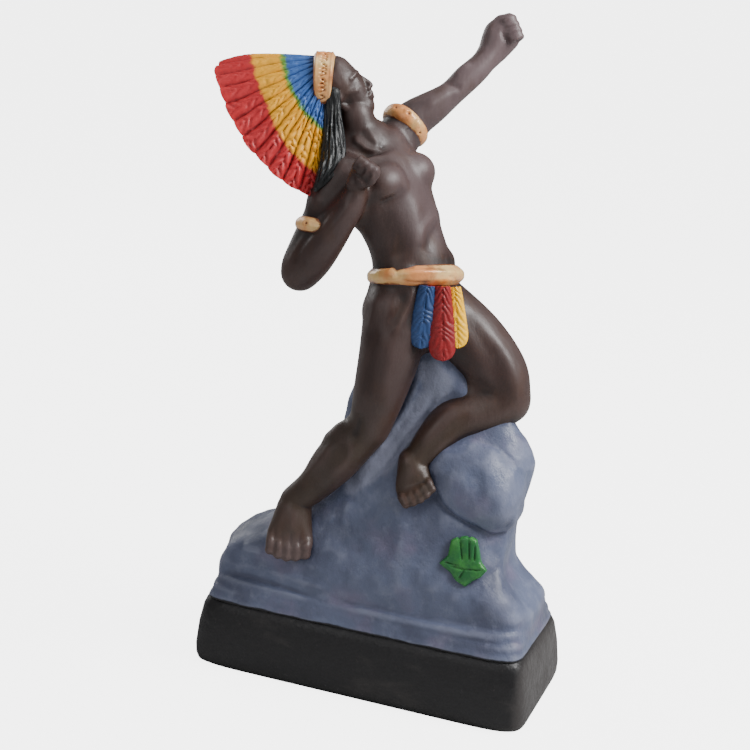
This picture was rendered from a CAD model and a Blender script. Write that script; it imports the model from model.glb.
# The painted plaster statue of a warrior in a feathered bonnet: its carved relief and its coat of paint.
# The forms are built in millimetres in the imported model's frame, joined into one casting, and then
# brought to metres.
import math

import bmesh
import bpy
import numpy as np
from mathutils import Matrix, Vector, noise
from mathutils.bvhtree import BVHTree
from mathutils.kdtree import KDTree


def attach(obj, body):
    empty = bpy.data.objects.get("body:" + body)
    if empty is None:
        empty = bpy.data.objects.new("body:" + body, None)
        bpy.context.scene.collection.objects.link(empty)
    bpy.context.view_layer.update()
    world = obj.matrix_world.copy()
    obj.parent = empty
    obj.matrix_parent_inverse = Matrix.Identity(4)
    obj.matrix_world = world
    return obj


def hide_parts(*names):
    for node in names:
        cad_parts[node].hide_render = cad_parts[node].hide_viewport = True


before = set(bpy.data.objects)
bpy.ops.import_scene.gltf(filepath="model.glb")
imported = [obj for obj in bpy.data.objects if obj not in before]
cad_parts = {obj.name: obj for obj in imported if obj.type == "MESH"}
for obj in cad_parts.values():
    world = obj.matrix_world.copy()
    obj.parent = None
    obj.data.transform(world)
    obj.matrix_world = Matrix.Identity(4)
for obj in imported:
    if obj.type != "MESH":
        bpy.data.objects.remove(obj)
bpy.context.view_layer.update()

mm = 0.001
up = Vector((0, 0, 1))

# Where a setting is a pair, its first value is for the full model and its second for the quick one.
grade = 0
mostTriangles = {"figure": 100000, "statue": 196000}
voxels = {
    "body": (1.3, 1.3), "figure": (0.6, 1.1), "rock": (1, 1.6), "band": (0.5, 0.9), "ring": (0.5, 0.9),
    "hair": (0.5, 1), "leaf": (0.5, 0.8),
}

# The camera looks from the photograph's side. Distances in millimetres, and the frame in pixels.
view = {
    "target": (-11, 0, 188), "azimuth": 20.7, "elevation": 15.8, "roll": 3.0, "distance": 870,
    "lens": 70.2, "sensor": 36, "frame": 750,
}


# The camera's right, up and backward directions, and its place.
def cameraAxes():
    azimuth, elevation, roll = (math.radians(view[key]) for key in ("azimuth", "elevation", "roll"))
    level = math.cos(elevation)
    back = Vector((math.sin(azimuth) * level, -math.cos(azimuth) * level, math.sin(elevation)))
    right = (-back).cross(up).normalized()
    above = back.cross(right)
    rolledRight = right * math.cos(roll) + above * math.sin(roll)
    rolledAbove = above * math.cos(roll) - right * math.sin(roll)
    return rolledRight, rolledAbove, back, Vector(view["target"]) + back * view["distance"]


# The direction in which the camera sees a place of the frame, given as column and row.
def sightLine(column, row):
    right, above, back, _ = cameraAxes()
    focal = view["lens"] / view["sensor"] * view["frame"]
    half = view["frame"] / 2
    return (right * (column - half) + above * (half - row) - back * focal).normalized()


# A smooth run of rows through the stations, with steps rows to each span.
def smoothRows(stations, steps):
    ends = [stations[0], *stations, stations[-1]]
    rows = []
    for a, b, c, d in zip(ends, ends[1:], ends[2:], ends[3:]):
        for t in (k / steps for k in range(steps)):
            rows.append([
                0.5 * (2 * q + (r - p) * t + (2 * p - 5 * q + 4 * r - s) * t * t
                       + (3 * q - p - 3 * r + s) * t ** 3)
                for p, q, r, s in zip(a, b, c, d)
            ])
    rows.append(list(stations[-1]))
    return rows


def circleOf(bm, around, matrix=Matrix()):
    return bmesh.ops.create_circle(bm, segments=around, radius=1, matrix=matrix)["verts"]


def edgesRound(verts):
    return list(dict.fromkeys(edge for vert in verts for edge in vert.link_edges))


# Bridges a run of rings of edges into a skin, and closes its two ends with a face each.
def bridgeRings(bm, rings, closed=True):
    for lower, upper in zip(rings, rings[1:]):
        bmesh.ops.bridge_loops(bm, edges=lower + upper)
    for ring in (rings[0], rings[-1]) if closed else ():
        bmesh.ops.contextual_create(bm, geom=ring)


def addTo(bm, part):
    bmesh.ops.recalc_face_normals(part, faces=part.faces)
    mesh = bpy.data.meshes.new("part")
    part.to_mesh(mesh)
    part.free()
    bm.from_mesh(mesh)
    bpy.data.meshes.remove(mesh)


# A limb through stations (x, y, z, half width, half depth) with round ends of caps rings. The width
# lies along side, and blunt is how far the ends stand out, as a share of the lesser half size.
def addLimb(bm, stations, side, around=20, steps=5, caps=4, blunt=1.0):
    rows = smoothRows([tuple(s) if len(s) == 5 else (*s, s[3]) for s in stations], steps)
    last = len(rows) - 1
    side = Vector(side)
    matrices = []

    def ring(row, ahead, slide, scale):
        wide, deep = row[3] * scale, row[4] * scale
        across = (side - ahead * side.dot(ahead)).normalized()
        other = ahead.cross(across)
        matrix = Matrix((across * wide, other * deep, ahead)).transposed().to_4x4()
        matrix.translation = Vector(row[:3]) + ahead * slide * min(row[3], row[4]) * blunt
        matrices.append(matrix)

    for i, row in enumerate(rows):
        ahead = (Vector(rows[min(i + 1, last)][:3]) - Vector(rows[max(i - 1, 0)][:3])).normalized()
        turns = [k / (caps + 0.4) * math.pi / 2 for k in range(1, caps + 1)]
        if i == 0:
            for turn in reversed(turns):
                ring(row, ahead, -math.sin(turn), math.cos(turn))
        ring(row, ahead, 0, 1)
        if i == last:
            for turn in turns:
                ring(row, ahead, math.sin(turn), math.cos(turn))
    part = bmesh.new()
    bridgeRings(part, [edgesRound(circleOf(part, around, matrix)) for matrix in matrices])
    addTo(bm, part)


# A ball at a place with three half sizes along x, y and z, turned by degrees about X, Y and Z.
def addBall(bm, place, half, turn=(0, 0, 0), around=24):
    turned = Matrix.Translation(place)
    for axis, degrees in zip("XYZ", turn):
        turned = turned @ Matrix.Rotation(math.radians(degrees), 4, axis)
    turned = turned @ Matrix.Diagonal((*half, 1))
    bmesh.ops.create_uvsphere(bm, u_segments=around, v_segments=around * 2 // 3, radius=1, matrix=turned)


def objectFrom(name, bm):
    mesh = bpy.data.meshes.new(name)
    bmesh.ops.recalc_face_normals(bm, faces=bm.faces)
    bm.to_mesh(mesh)
    bm.free()
    made = bpy.data.objects.new(name, mesh)
    bpy.context.scene.collection.objects.link(made)
    return made


# Puts what the modifiers make into the object's own mesh.
def settle(made):
    graph = bpy.context.evaluated_depsgraph_get()
    mesh = bpy.data.meshes.new_from_object(made.evaluated_get(graph))
    made.modifiers.clear()
    old = made.data
    made.data = mesh
    bpy.data.meshes.remove(old)


# Blends overlapping skins into one.
def blendTogether(made, kind):
    remesh = made.modifiers.new("blend", "REMESH")
    remesh.mode = "VOXEL"
    remesh.voxel_size = voxels[kind][grade]
    settle(made)


# The object's mesh goes on as a bmesh, and the object itself is dropped.
def takeUp(made):
    bm = bmesh.new()
    bm.from_mesh(made.data)
    bpy.data.objects.remove(made)
    return bm


def thinOut(made, triangles):
    now = sum(len(face.vertices) - 2 for face in made.data.polygons)
    if now > triangles:
        thin = made.modifiers.new("thin", "DECIMATE")
        thin.ratio = triangles / now
        settle(made)


def pointsOf(made):
    points = np.empty(len(made.data.vertices) * 3, np.float32)
    made.data.vertices.foreach_get("co", points)
    return points.reshape(-1, 3).astype(float)


def setPoints(made, points):
    made.data.vertices.foreach_set("co", points.astype(np.float32).ravel())
    made.data.update()


def normalsOf(made):
    normals = np.empty(len(made.data.vertices) * 3, np.float32)
    made.data.vertex_normals.foreach_get("vector", normals)
    return normals.reshape(-1, 3).astype(float)


def surfaceOf(made):
    faces = [tuple(face.vertices) for face in made.data.polygons]
    return BVHTree.FromPolygons([Vector(point) for point in pointsOf(made)], faces)


# Keeps one value for each point, for the paint to read.
def store(made, name, values):
    kept = made.data.attributes.new(name, "FLOAT", "POINT")
    kept.data.foreach_set("value", np.asarray(values, np.float32))


def edgesOf(made):
    edges = np.empty(len(made.data.edges) * 2, np.int32)
    made.data.edges.foreach_get("vertices", edges)
    return edges.reshape(-1, 2).T


# The mean of each point's neighbours.
def neighbourMean(values, edges):
    a, b = edges
    size = len(values)
    count = np.maximum(np.bincount(a, minlength=size) + np.bincount(b, minlength=size), 1)
    return np.stack([
        (np.bincount(a, values[b, k], size) + np.bincount(b, values[a, k], size)) / count
        for k in range(values.shape[1])
    ], 1)


# Rubs the surface smooth, share by share. hold is 0 where it may move freely and 1 where it stays.
def rub(made, times, share=0.5, hold=0):
    edges = edgesOf(made)
    points = pointsOf(made)
    free = share * (1 - np.asarray(hold, float)).reshape(-1, 1)
    for _ in range(times):
        points += (neighbourMean(points, edges) - points) * free
    setPoints(made, points)


# How near each point is to a line, from 1 on it to 0 at twice its width. The ends run out softly.
def nearLine(points, line, width, soft=0.25):
    line = np.asarray(line, float)
    reach = 2.4 * width
    close = np.all((points > line.min(0) - reach) & (points < line.max(0) + reach), 1)
    strength = np.zeros(len(points))
    here = points[close]
    if not len(here):
        return strength
    best = np.full(len(here), 1e9)
    place = np.zeros(len(here))
    spans = max(len(line) - 1, 1)
    for i in range(spans):
        a = line[i]
        b = line[min(i + 1, len(line) - 1)]
        run = b - a
        t = np.clip((here - a) @ run / max(run @ run, 1e-9), 0, 1)
        away = np.linalg.norm(here - a - t[:, None] * run, axis=1)
        nearer = away < best
        best[nearer] = away[nearer]
        place[nearer] = (i + t[nearer]) / spans
    fade = np.ones(len(here))
    if len(line) > 1 and soft:
        fade = np.clip(np.minimum(place, 1 - place) / soft, 0, 1) ** 0.5
    strength[close] = np.exp(-((best / width) ** 2) * 2) * fade
    return strength


# Models with a round tool: each stroke is a line of places, the tool's width and the height it
# leaves, below nothing for a groove. The lines are laid onto the surface first.
def model(made, strokes, steps=4):
    points = pointsOf(made)
    surface = surfaceOf(made)
    moved = np.zeros(len(points))
    for line, width, height in strokes:
        rows = smoothRows(line, steps) if len(line) > 1 else line
        rows = [surface.find_nearest(Vector(row))[0] for row in rows]
        moved += nearLine(points, rows, width) * height
    setPoints(made, points + normalsOf(made) * moved[:, None])


# The strokes that the photograph shows: each line's places are given as columns and rows of its frame.
def seenOn(made, marks):
    surface = surfaceOf(made)
    eye = cameraAxes()[3]
    strokes = []
    for line, width, height in marks:
        hits = [surface.ray_cast(eye, sightLine(*place))[0] for place in line]
        hits = [hit for hit in hits if hit]
        if hits:
            strokes.append((hits, width, height))
    return strokes


# The trunk leans back from the seat. Its stations are the middle line with half widths and depths. The
# muscles stand on both sides: height, turn from the breastbone, how far out, half sizes and turn.
trunk = {
    "stations": [
        (12, 1, 226, 27, 22), (10, 0, 238, 30, 25), (9, 0, 254, 27, 22), (4.5, -1, 270, 26, 19),
        (-2, -2, 286, 29, 20), (-11, -2, 302, 32, 20.5), (-18, 2, 316, 28, 17), (-22, -1, 324, 18, 13),
    ],
    "left": (0.28, 0.96, 0), "around": 36,
    "muscles": {
        "chest": (301.5, 36, -6.5, (12.5, 15, 12.5), (0, -24, -16)),
        "broad back": (297, 112, -9, (11, 12, 17), (0, -22, -16)),
        "shoulder blade": (311, 140, -9, (9, 14, 13), (0, -22, -16)),
        "flank": (255, 70, -8, (12, 10, 11), (0, -8, -16)),
    },
    "seat": {"right": (1, -12, 231), "left": (7, 14, 231), "half": (17, 17, 18)},
    "neck": [(-22, -2, 316, 13, 11), (-26, -3, 328, 11.3, 10.8), (-30, -4, 340, 10.8, 10.8)],
    "neckToLeft": [(-20, 14, 322, 6, 5), (-26, 6, 329, 7, 5), (-31, 1, 338, 7, 5)],
    "neckToRight": [(-27, -17, 316, 6, 5), (-31, -10, 326, 7, 5), (-34, -5, 338, 7, 5)],
}


# A place on the trunk at a height, turn degrees from the breastbone to the figure's left, out mm off it.
def onTrunk(height, turn, out=0.0):
    rows = np.array(trunk["stations"])
    x, y, wide, deep = (np.interp(height, rows[:, 2], rows[:, k]) for k in (0, 1, 3, 4))
    below, above = (np.interp(height + way, rows[:, 2], rows[:, 0]) for way in (-4, 4))
    ahead = Vector((above - below, 0, 8)).normalized()
    side = Vector(trunk["left"])
    side = (side - ahead * side.dot(ahead)).normalized()
    front = side.cross(ahead)
    angle = math.radians(turn)
    place = front * math.cos(angle) * (deep + out) + side * math.sin(angle) * (wide + out)
    return tuple(Vector((x, y, height)) + place)


def makeTrunk(bm):
    addLimb(bm, trunk["stations"], trunk["left"], around=trunk["around"])
    for height, turn, out, half, tilt in trunk["muscles"].values():
        for way in (-1, 1):
            addBall(bm, onTrunk(height, turn * way, out), half, tilt)
    for side in ("right", "left"):
        addBall(bm, trunk["seat"][side], trunk["seat"]["half"])
    for name in ("neck", "neckToLeft", "neckToRight"):
        addLimb(bm, trunk[name], trunk["left"])


legs = {
    "rightThigh": [
        (5, -12, 233, 19, 22), (5, -19, 210, 18, 20), (0.5, -22, 184, 15.3, 16), (-4, -22, 163, 12.2, 13.4),
    ],
    "rightShin": [
        (-5, -22, 163, 12.3, 13), (-14.5, -23, 151, 13.4, 13.5), (-24.5, -26, 138, 13.2, 13.5),
        (-36, -27, 122.6, 10, 10.6), (-48, -28, 111, 9.2, 9.2),
    ],
    "leftThigh": [
        (19, 11, 231, 22, 21), (42, 16, 213, 21, 20.5), (59, 18, 195, 18.5, 18.5), (66, 17, 182, 14.5, 15),
    ],
    "leftShin": [
        (67, 16, 180, 14, 14), (56, 9, 174, 14.5, 14.5), (41, -1, 168.5, 14, 13.5),
        (32.5, -9.7, 159.3, 11.6, 11.3), (24.5, -15.7, 146.5, 8.6, 8.6),
    ],
    "across": {
        "rightThigh": (1, 0, 0), "rightShin": (0.3, 0.95, 0), "leftThigh": (0.3, 0.95, 0),
        "leftShin": (0.6, -0.6, 0.5),
    },
    "around": 28,
    "lumps": {
        "right knee cap": ((-19.5, -25.5, 156), (8.2, 8.5, 10), (0, 30, 0)),
        "left knee cap": ((68, 15, 184), (11, 11, 12)),
        "flesh in the bend of the left knee": ((49, 5.5, 185.5), (9, 7, 9)),
        "head of the right shin bone": ((-23.6, -25, 150.5), (8.8, 9, 9)),
    },
}


def makeLegs(bm):
    for name, across in legs["across"].items():
        addLimb(bm, legs[name], across, around=legs["around"])
    for lump in legs["lumps"].values():
        addBall(bm, *lump)


# A foot, in shares of its width, with its toes in order from the little one to the big one.
foot = {
    "toeLengths": (0.72, 0.84, 0.88, 0.8, 0.6), "toeThick": 0.225, "bigToeThick": 0.27, "toeSpacing": 0.385,
    "pad": ((-0.72, 0.42), (0, 0.62), (0.72, 0.4)),
}
feet = {
    "right": ((-47.5, -29, 106), (-46, -37, 92.5), (0.1, -0.5, -0.86), (0.94, 0.3, -0.13), 13.9),
    "left": ((21.8, -17, 144.5), (26.4, -25, 132.3), (0.62, -0.68, -0.4), (-0.71, -0.42, -0.57), 11.4),
}


# A foot from heel to ball with five toes. side points from the little toe to the big one.
def makeFoot(bm, heel, ball, toeWay, side, wide):
    heel, ball = Vector(heel), Vector(ball)
    out = Vector(side).normalized()
    ahead = Vector(toeWay).normalized()
    middle = heel.lerp(ball, 0.5)
    addLimb(bm, [
        (*heel, wide * 0.78, wide * 0.78), (*middle, wide * 0.88, wide * 0.64), (*ball, wide, wide * 0.44),
        (*(ball + ahead * wide * 0.3), wide * 0.9, wide * 0.34),
    ], out)
    pad = [ball + out * share * wide + ahead * far * wide for share, far in foot["pad"]]
    addLimb(bm, [(*place, wide * 0.34, wide * 0.24) for place in pad], ahead)
    top = ahead.cross(out)
    high = top * wide * (0.1 if top.y < 0 else -0.1)
    for toe, share in enumerate(foot["toeLengths"]):
        thick = wide * foot["bigToeThick" if toe == 4 else "toeThick"]
        root = ball + out * (toe - 2) * wide * foot["toeSpacing"] + ahead * wide * 0.1
        run = ahead * wide * share
        addLimb(bm, [
            (*root, thick, thick), (*(root + run * 0.5 + high), thick, thick * 1.1),
            (*(root + run * 0.8 + high * 0.4), thick * 0.86, thick * 0.85),
            (*(root + run), thick, thick * 0.95),
        ], out, around=16, steps=3)


# A closed hand, in shares of its size. Each finger has a place along the knuckles and a thickness, and
# curls through places ahead of the palm's middle and below it. The thumb lies beside the fingers.
fist = {
    "fingers": ((-0.75, 0.23), (-0.26, 0.27), (0.25, 0.28), (0.75, 0.265)),
    "curl": ((0.35, 0), (0.86, 0.05), (1.08, 0.4), (0.9, 0.88), (0.42, 0.96), (0.1, 0.78)),
    "thumb": ((0.6, -0.6, 0.3), (1.02, -0.1, 0.5), (1.05, 0.45, 0.62), (0.98, 0.85, 0.66)),
}


# across runs along the knuckles from the little finger, ahead from wrist to knuckles, and hand is 1 for
# a right hand and -1 for a left one.
def makeFist(bm, place, across, ahead, size, hand):
    place = Vector(place)
    ahead = Vector(ahead).normalized()
    across = Vector(across)
    across = (across - ahead * across.dot(ahead)).normalized()
    palm = across.cross(ahead) * hand

    def at(c, a, p):
        return place + (across * c + ahead * a + palm * p) * size

    addLimb(bm, [
        (*at(0, -0.9, 0), size * 0.68, size * 0.6), (*at(0, -0.2, 0), size * 0.9, size * 0.58),
        (*at(0, 0.4, 0), size * 0.9, size * 0.5),
    ], across)
    addBall(bm, at(0.3, -0.4, 0.1), (size * 0.7,) * 3)
    for spot, share in fist["fingers"]:
        thick = size * share
        addLimb(bm, [(*at(spot, a, p), thick, thick) for a, p in fist["curl"]], across, around=16, steps=4)
    thumb = [(*at(*spot), size * 0.27, size * 0.25) for spot in fist["thumb"]]
    addLimb(bm, thumb, ahead, around=16, steps=4)


arms = {
    "rightUpper": [
        (-28, -24, 305, 12.3, 13.5), (-32.6, -29, 295, 12.4, 13.2), (-34.8, -30.3, 285, 11.2, 12.6),
        (-39.2, -32, 274, 11.2, 12.3), (-46.6, -34, 255.5, 11.8, 11.7),
    ],
    "rightFore": [
        (-47, -34, 252, 11.8, 11.5), (-37.8, -37, 262.5, 11.8, 12), (-26, -39.5, 279, 9.9, 10.6),
        (-16.5, -39, 294, 8, 8.2), (-13.5, -37.5, 302, 6.8, 6.6),
    ],
    "rightFold": [(-23, -27, 297, 7, 7), (-30, -29, 284, 8, 8), (-40, -33, 266, 8.5, 8.5)],
    "leftUpper": [
        (-17, 20, 320, 14.5, 14.5), (-9, 32, 335, 12, 13), (0.6, 38, 343.2, 10.2, 11),
        (5.6, 42, 347.6, 8.8, 10), (10.7, 46, 352.5, 7.6, 8.8),
    ],
    "leftFore": [
        (10.7, 46, 352.5, 7.6, 8.8), (17.5, 53, 361.6, 8.2, 8.8), (22, 57, 366.9, 7.8, 8.2),
        (25.2, 60.5, 372.1, 7.2, 7.6), (27.2, 64, 377.3, 7.9, 7.9), (29.9, 67, 382.1, 8.2, 8.2),
    ],
    "shoulders": (((-27, -22.5, 307), (13.5, 13.3, 13.5)), ((-19, 20, 319), (15.5, 15.5, 13.5))),
    "around": 24,
}


def makeArms(bm):
    for shoulder in arms["shoulders"]:
        addBall(bm, *shoulder)
    for name in ("rightUpper", "rightFore", "rightFold"):
        addLimb(bm, arms[name], trunk["left"], around=arms["around"])
    for name in ("leftUpper", "leftFore"):
        addLimb(bm, arms[name], up, around=arms["around"])


# The head, in shares of its height from chin to crown. It is shaped upright, looks up by lookUp and
# is turned by turn. x runs ahead, y to the left.
head = {"at": (-38, -4.5, 352.5), "high": 41, "turn": 20.7, "lookUp": 34}


def headMatrix():
    turned = Matrix.Rotation(math.radians(head["turn"]), 4, "Z")
    tilted = Matrix.Rotation(-math.radians(head["lookUp"]), 4, "Y")
    return Matrix.Translation(head["at"]) @ turned @ tilted @ Matrix.Scale(head["high"], 4)


def makeHead(bm):
    part = bmesh.new()
    across = (0, 1, 0)
    addBall(part, (-0.08, 0, 0.12), (0.4, 0.34, 0.38))  # skull
    addLimb(part, [(0.04, 0, 0.26, 0.27, 0.25), (0.06, 0, 0.05, 0.27, 0.27), (0.08, 0, -0.14, 0.25, 0.25),
                   (0.13, 0, -0.31, 0.19, 0.18)], across)  # face
    addLimb(part, [(0.17, -0.05, -0.4, 0.07, 0.075), (0.185, 0.05, -0.4, 0.07, 0.075)], up)  # chin
    for way in (-1, 1):
        addLimb(part, [(-0.1, 0.24 * way, -0.14, 0.06, 0.05), (-0.02, 0.22 * way, -0.27, 0.06, 0.06),
                       (0.14, 0.08 * way, -0.39, 0.065, 0.065)], up, around=12)  # jaw
        addLimb(part, [(0.17, 0.2 * way, -0.07, 0.05, 0.06), (0.05, 0.255 * way, -0.03, 0.045, 0.045),
                       (-0.08, 0.265 * way, 0, 0.04, 0.04)], up, around=12)  # cheek bone
        addLimb(part, [(0.29, 0.02 * way, 0.105, 0.04, 0.045), (0.285, 0.12 * way, 0.125, 0.035, 0.04),
                       (0.2, 0.22 * way, 0.1, 0.035, 0.035)], up, around=12)  # brow
        addBall(part, (0.225, 0.125 * way, 0.03), (0.058, 0.07, 0.058), around=16)  # eyeball
        addLimb(part, [(0.27, 0.06 * way, 0.02, 0.014, 0.016), (0.288, 0.125 * way, 0.056, 0.015, 0.016),
                       (0.235, 0.195 * way, 0.022, 0.014, 0.016)], up, around=8)  # upper lid
        addLimb(part, [(0.27, 0.06 * way, 0.016, 0.011, 0.013), (0.276, 0.125 * way, -0.012, 0.012, 0.013),
                       (0.235, 0.195 * way, 0.016, 0.011, 0.013)], up, around=8)  # lower lid
        addBall(part, (0.33, 0.055 * way, -0.145), (0.042, 0.032, 0.03), around=12)  # nostril wing
        addBall(part, (-0.07, 0.31 * way, 0.0), (0.065, 0.035, 0.11), around=12)  # ear
    addLimb(part, [(0.27, 0, 0.1, 0.04, 0.05), (0.31, 0, 0.02, 0.036, 0.05), (0.36, 0, -0.08, 0.042, 0.05),
                   (0.375, 0, -0.125, 0.05, 0.045)], across, around=12)  # nose
    addLimb(part, [(0.28, -0.1, -0.235, 0.022, 0.03), (0.335, -0.035, -0.215, 0.03, 0.034),
                   (0.33, 0, -0.22, 0.027, 0.032), (0.335, 0.035, -0.215, 0.03, 0.034),
                   (0.28, 0.1, -0.235, 0.022, 0.03)], up, around=12)  # upper lip
    addLimb(part, [(0.275, -0.085, -0.26, 0.022, 0.03), (0.32, 0, -0.272, 0.036, 0.036),
                   (0.275, 0.085, -0.26, 0.022, 0.03)], up, around=12)  # lower lip
    bmesh.ops.transform(part, matrix=headMatrix(), verts=part.verts)
    addTo(bm, part)


hands = {
    "right": ((-10.6, -38.6, 311.6), (0.71, 0.05, -0.72), (0.45, 0.39, 0.8), 7.1, 1),
    "left": ((32.8, 69.5, 386.7), (-0.51, 0.066, 0.856), (0.79, 0.43, 0.437), 7.9, -1),
    "leftBack": ((32, 69.8, 392.2), (6.8, 6.8, 6.2)),
    "leftThumbRoot": [
        (27.4, 64.5, 378, 7.8, 7.8), (28.6, 66.5, 383.5, 8.4, 8.4), (29.8, 68.5, 388, 8.6, 8.4),
        (31.5, 70, 392, 7, 6.4),
    ],
    "leftHeel": [
        (37.9, 69, 383.2, 4.4, 4.6), (32.7, 66, 376.7, 4.6, 4.8), (30.3, 64, 373.6, 4.4, 4.6),
        (26.5, 61, 368.6, 3.6, 4.2), (22.5, 57.5, 364, 3, 3.6),
    ],
}


def makeHands(bm):
    makeFist(bm, *hands["right"])
    makeFist(bm, *hands["left"])
    addBall(bm, *hands["leftBack"])
    for name in ("leftThumbRoot", "leftHeel"):
        addLimb(bm, hands[name], trunk["left"])


# What the photograph shows of the body's relief: lines in its frame, the width and height in mm.
bodyMarks = {
    "right chest's edge": ([(377, 205), (386, 203), (396, 197), (403, 188)], 3.4, -1.2),
    "fold under the chest": ([(381, 203), (389, 200), (394, 196)], 1.6, -1.1),
    "breastbone": ([(398, 160), (404, 170), (407, 180)], 4.0, -0.6),
    "left chest": ([(409, 156)], 4.0, 0.8),
    "right collar bone": ([(354, 136), (360, 145), (368, 150), (382, 150)], 2.2, 1.8),
    "below the collar bone": ([(357, 144), (363, 151), (371, 154)], 2.4, -1.2),
    "neck's cord": ([(368, 127), (374, 138), (380, 145)], 2.4, 0.6),
    "pit of the neck": ([(381.5, 147)], 1.6, -1.8),
    "beside the neck's cord": ([(361, 130), (367, 139), (374, 146)], 2.0, -0.9),
    "front of the left shoulder": ([(395, 122), (396, 133), (401, 142)], 3.4, 0.7),
    "armpit's front": ([(405, 130), (408, 140), (412, 147)], 3.2, -0.8),
    "belly's edge": ([(402, 186), (412, 202), (416, 220), (415, 242), (415, 264)], 8.5, 1.5),
    "flank": ([(384, 212), (393, 235), (398, 258)], 8.0, -1.5),
    "rib arch": ([(420, 246), (422, 232), (429, 221), (437, 214)], 4.6, 1.2),
    "below the rib arch": ([(427, 252), (432, 236), (438, 226)], 6.0, -1.6),
    "navel": ([(445, 259)], 1.5, -1.6),
    "forearm's edge": ([(288, 266), (296, 250), (307, 235)], 3.0, 0.8),
    "inner elbow": ([(292, 262), (300, 247), (310, 234), (318, 226), (326, 216), (342, 201)], 3.0, -1.2),
    "forearm's back": ([(322, 236), (335, 225), (346, 211), (351, 202)], 3.2, 0.9),
    "forearm's muscle": ([(305, 262), (318, 250), (330, 234)], 5.0, 0.6),
    "upper arm": ([(318, 196), (314, 208)], 4.0, 0.7),
    "left elbow's fold": ([(446, 84), (455, 86), (461, 89)], 2.4, -1.2),
    "left forearm's muscle": ([(454, 76), (461, 69), (469, 65)], 4.0, 1.2),
    "left biceps": ([(427, 106), (438, 97), (450, 91)], 4.6, 0.7),
    "below the left biceps": ([(432, 115), (444, 104), (456, 95)], 4.0, -0.6),
    "left forearm's edge": ([(466, 94), (484, 77), (500, 62)], 3.4, 0.4),
    "groin": ([(413, 288), (409, 302), (402, 317), (394, 334)], 2.6, 1.9),
    "beside the groin": ([(404, 292), (399, 306), (391, 324)], 3.8, -1.0),
    "right hip": ([(376, 296), (374, 312), (368, 330)], 4.2, 0.8),
    "right thigh's front": ([(392, 330), (388, 365), (381, 400)], 6.0, 0.8),
    "right thigh's groove": ([(374, 330), (371, 360), (366, 395)], 4.2, -0.8),
    "left thigh's ridge": ([(488, 330), (505, 352), (515, 376), (519, 400)], 5.0, 0.7),
    "left thigh's groove": ([(462, 312), (480, 338), (496, 366), (504, 394)], 6.0, -1.0),
    "above the knee": ([(360, 414), (358, 428), (351, 440)], 3.4, -1.2),
    "knee's rim": ([(336, 427), (345, 421)], 3.0, 0.7),
    "shin bone": ([(333, 441), (318, 462), (301, 480)], 2.6, 0.8),
    "calf": ([(352, 444), (346, 462), (330, 478)], 4.6, 0.9),
    "beside the shin": ([(346, 446), (332, 463), (314, 482)], 4.6, -0.8),
    "right instep": ([(294, 510), (292, 522), (290, 532)], 3.6, 0.6),
    "left calf": ([(455, 404), (437, 422), (421, 445)], 4.2, 0.8),
    "left calf's groove": ([(470, 415), (450, 432), (430, 450), (424, 470)], 4.2, -1.1),
    "left ankle": ([(404, 456), (407, 466)], 2.6, 0.7),
}
fistMarks = [
    ([(361, 175), (366, 168)], 0.8, -1.0), ([(367, 181), (372, 173)], 0.9, -1.1),
    ([(373, 186), (378, 179)], 0.8, -0.8), ([(354, 170), (357, 178), (364, 185)], 1.2, 0.6),
    ([(377, 167)], 1.2, 0.7), ([(373, 170), (376, 176)], 0.8, -0.7),
    ([(506, 29.5), (511, 27), (516, 25)], 0.9, -1.0), ([(509, 35.5), (515, 32.5), (520, 31)], 0.9, -0.9),
    ([(512, 39), (518, 36), (523, 37)], 0.8, -0.7), ([(502, 30), (504, 37), (511, 44)], 1.3, -1.0),
    ([(495, 24), (497, 33)], 2.4, -0.6),
]
toeGrooves = [
    ([(column + 1.5, top), (column + 0.6, top + 10), (column, top + 22)], 0.75, -0.55)
    for column, top in ((273.5, 526), (281, 530), (289.5, 532), (299, 530))
]


# 1 near the given places, where the surface stays as it is, and 0 farther off.
def nearPlaces(made, places):
    points = pointsOf(made)
    near = np.zeros(len(points))
    for place, radius, share in places:
        away = np.linalg.norm(points - np.array(place), axis=1)
        near = np.maximum(near, share * np.clip(1.6 - away / radius, 0, 1))
    return near


finePlaces = [
    (head["at"], 26, 1.0), ((-10, -38.5, 311), 11, 0.9), ((33, 70, 389), 13, 0.8), ((-46, -37, 92), 18, 0.85),
    ((27, -24, 134), 14, 0.85),
]


# The body's relief that the photograph doesn't show, kept plainer: height and turn on the trunk.
def hiddenMarks():
    marks = [([(height, 180) for height in (238, 254, 270, 286, 302, 314)], 2.6, -2.2)]
    for way in (-1, 1):
        marks += [
            ([(242, 180 - 17 * way), (262, 180 - 20 * way), (282, 180 - 22 * way)], 5.0, 1.0),
            ([(292, 180 - 24 * way), (302, 180 - 26 * way), (312, 180 - 32 * way)], 2.4, -1.2),
            ([(290, 180 - 30 * way), (290, 180 - 48 * way), (296, 180 - 64 * way)], 2.6, -1.3),
        ]
    marks += [
        ([(244, 22), (252, 34), (266, 46)], 2.2, -0.8), ([(285, 22), (279, 44), (272, 64)], 2.0, 0.8),
        ([(293, 78), (286, 70), (278, 66)], 1.8, -0.7), ([(284, 84), (277, 76), (270, 71)], 1.8, -0.7),
    ]
    return [([onTrunk(*place) for place in line], width, height) for line, width, height in marks]


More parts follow.
